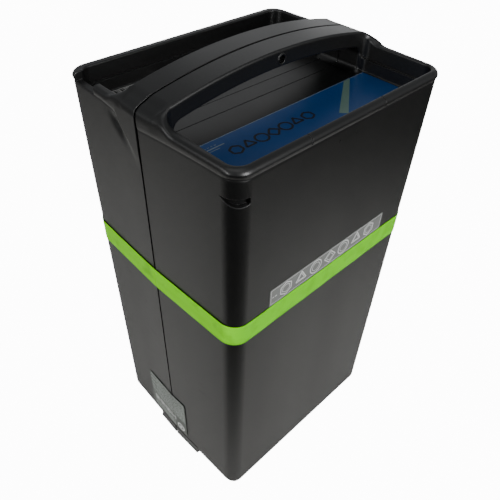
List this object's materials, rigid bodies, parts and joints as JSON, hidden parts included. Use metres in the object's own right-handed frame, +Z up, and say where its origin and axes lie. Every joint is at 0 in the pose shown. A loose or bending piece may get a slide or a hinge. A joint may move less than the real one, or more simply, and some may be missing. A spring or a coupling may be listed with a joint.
{
  "type": "removable battery pack",
  "caption": "Tall rectangular removable vehicle battery pack: split black plastic case, arched carrying handle over a recessed top tray, coloured band, docking connector in the foot.",
  "frame": {"origin": "middle of the footprint, on the underside of the foot that the pack stands on", "axes": "+Z up, X along the wide faces, -Y out of the front face that carries the name plate"},
  "size_m": [0.197, 0.1618, 0.371],
  "materials": {
    "case_plastic": "satin moulded, slightly worn",
    "gasket_rubber": "matte",
    "band_film": "satin adhesive film",
    "tray_film": "glossy printed film",
    "barcode_paper": "printed paper",
    "name_film": "silver grey film",
    "rating_film": "smoky film with fine print pattern",
    "screw_steel": "zinc plated",
    "cell_jacket": "shrink sleeve with nickel plates",
    "frame_plastic": "matte",
    "insulation_sheet": "barley paper",
    "foam": "open cell foam",
    "circuit_board": "lacquered board with parts",
    "heat_sink_metal": "bead blasted",
    "fuse_body": "fibre body, plated blades",
    "red_wire": "silicone",
    "black_wire": "silicone",
    "ribbon_wire": "ribbed ribbon",
    "connector_plastic": "glass filled nylon",
    "contact_metal": "plated"
  },
  "bodies": {
    "root": {"front_shell": "case_plastic", "rear_shell": "case_plastic", "case_gasket": "gasket_rubber", "green_band": "band_film", "top_label": "tray_film", "barcode_label": "barcode_paper", "name_plate": "name_film", "rating_label": "rating_film", "handle_screw": "screw_steel", "case_screw_1": "screw_steel", "case_screw_2": "screw_steel", "case_screw_3": "screw_steel", "case_screw_4": "screw_steel", "cell_group_01": "cell_jacket", "cell_group_02": "cell_jacket", "cell_group_03": "cell_jacket", "cell_group_04": "cell_jacket", "cell_group_05": "cell_jacket", "cell_group_06": "cell_jacket", "cell_group_07": "cell_jacket", "cell_group_08": "cell_jacket", "cell_group_09": "cell_jacket", "cell_group_10": "cell_jacket", "cell_group_11": "cell_jacket", "cell_group_12": "cell_jacket", "cell_group_13": "cell_jacket", "cell_group_14": "cell_jacket", "cell_group_15": "cell_jacket", "cell_group_16": "cell_jacket", "cell_frame_front": "frame_plastic", "cell_frame_rear": "frame_plastic", "middle_insulator": "insulation_sheet", "front_foam_pad": "foam", "rear_foam_pad": "foam", "left_cradle": "frame_plastic", "right_cradle": "frame_plastic", "management_board": "circuit_board", "heat_sink": "heat_sink_metal", "main_fuse": "fuse_body", "positive_lead": "red_wire", "negative_lead": "black_wire", "balance_harness": "ribbon_wire", "dock_housing": "connector_plastic", "positive_contact": "contact_metal", "negative_contact": "contact_metal", "signal_contacts": "contact_metal"}
  },
  "joints": []
}
